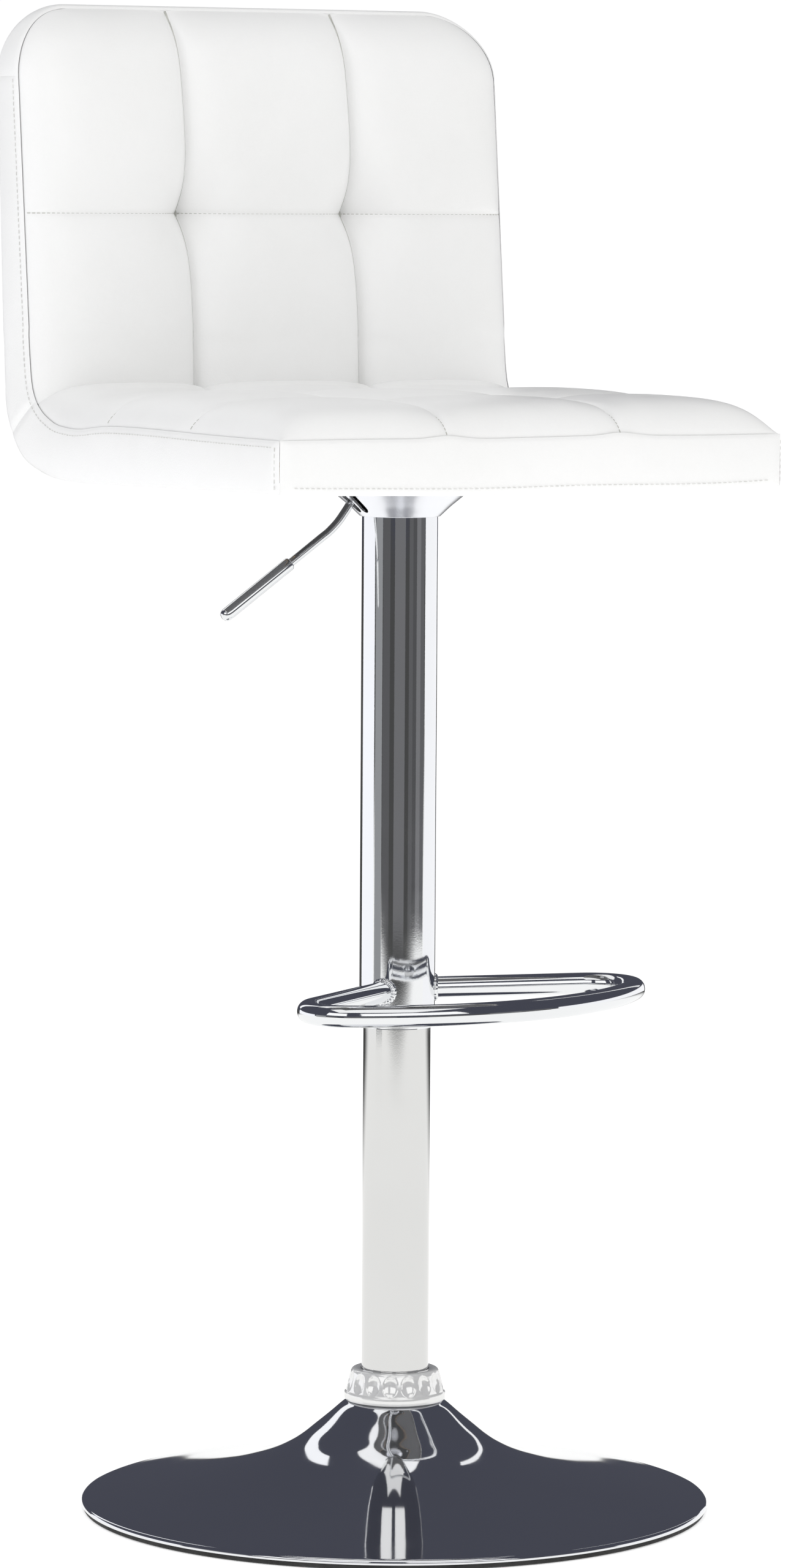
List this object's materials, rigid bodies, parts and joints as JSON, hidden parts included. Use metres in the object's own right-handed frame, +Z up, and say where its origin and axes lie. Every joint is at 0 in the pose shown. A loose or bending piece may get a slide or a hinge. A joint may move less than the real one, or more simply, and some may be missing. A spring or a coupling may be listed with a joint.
{
  "type": "swivel stool",
  "caption": "Height-adjustable swivel stool with a quilted leatherette seat and back, gas-lift column, looped footrest, lift lever and trumpet base.",
  "frame": {"origin": "on the floor under the middle of the footprint; the swivel axis stands 14.85 mm towards the front (-Y) of it", "axes": "+Z up, the seat's front faces -Y, +X to the right of a person facing the seat's front"},
  "size_m": [0.45, 0.4796, 1.0756],
  "materials": {
    "chrome": "polished chrome plate",
    "satin": "satin plated steel",
    "steel": "zinc plated steel",
    "black_steel": "black powder coat",
    "rubber": "matte black rubber",
    "plastic": "black moulded plastic",
    "ply": "bent plywood",
    "leatherette": "fine-grained white leatherette",
    "dust_cloth": "black non-woven cloth"
  },
  "bodies": {
    "base": {"base_shell": "chrome", "floor_ring": "rubber", "ballast_plate": "black_steel", "column_socket": "black_steel", "lower_column": "chrome", "base_collar": "chrome", "column_end_plate": "steel", "bearing_lower_race": "steel", "guide_bush": "plastic"},
    "bearing_cage": {"bearing_ball_cage": "steel"},
    "rod": {"bearing_upper_race": "steel", "rod_collar": "steel", "rubber_bumper": "rubber", "rod_clip": "steel", "piston_rod": "chrome", "piston": "black_steel"},
    "seat": {"gas_cylinder": "black_steel", "cylinder_seal": "rubber", "upper_tube": "chrome", "tube_guide_ring": "plastic", "footrest_bar": "chrome", "footrest_weld_right": "chrome", "footrest_weld_left": "chrome", "bell_cover": "satin", "seat_plate": "black_steel", "lever_pivot_pin": "steel", "bent_board": "ply", "washer_1": "steel", "bolt_1": "steel", "t_nut_1": "steel", "washer_2": "steel", "bolt_2": "steel", "t_nut_2": "steel", "washer_3": "steel", "bolt_3": "steel", "t_nut_3": "steel", "washer_4": "steel", "bolt_4": "steel", "t_nut_4": "steel", "gusset_right": "leatherette", "gusset_left": "leatherette", "front_band": "leatherette", "rear_cover": "leatherette", "seat_cushion": "leatherette", "back_cushion": "leatherette", "top_band": "leatherette", "dust_cover": "dust_cloth"},
    "lever": {"lever_rod": "chrome", "lever_grip": "chrome"},
    "release_valve": {"release_pin": "steel"}
  },
  "joints": [
    {"name": "seat_swivel", "type": "hinge", "parent": "base", "child": "rod", "pos_m": [0, -0.01485, 0.03], "axis": [0, 0, 1], "continuous": true},
    {"name": "cage_turn", "type": "hinge", "parent": "base", "child": "bearing_cage", "pos_m": [0, -0.01485, 0.0246], "axis": [0, 0, 1], "continuous": true},
    {"name": "seat_lift", "type": "slide", "parent": "rod", "child": "seat", "axis": [0, 0, 1], "range_m": [-0.21, 0]},
    {"name": "lever_pull", "type": "hinge", "parent": "seat", "child": "lever", "pos_m": [-0.013, -0.01485, 0.732], "axis": [0, 1, 0], "range_deg": [0, 9], "stiffness_Nm_per_rad": 1.5},
    {"name": "valve_press", "type": "slide", "parent": "seat", "child": "release_valve", "axis": [0, 0, -1], "range_m": [0, 0.0026]}
  ],
  "couplings": [
    {"joint": "cage_turn", "follows": "seat_swivel", "ratio": 0.5},
    {"joint": "valve_press", "follows": "lever_pull", "m_per_rad": 0.016}
  ]
}
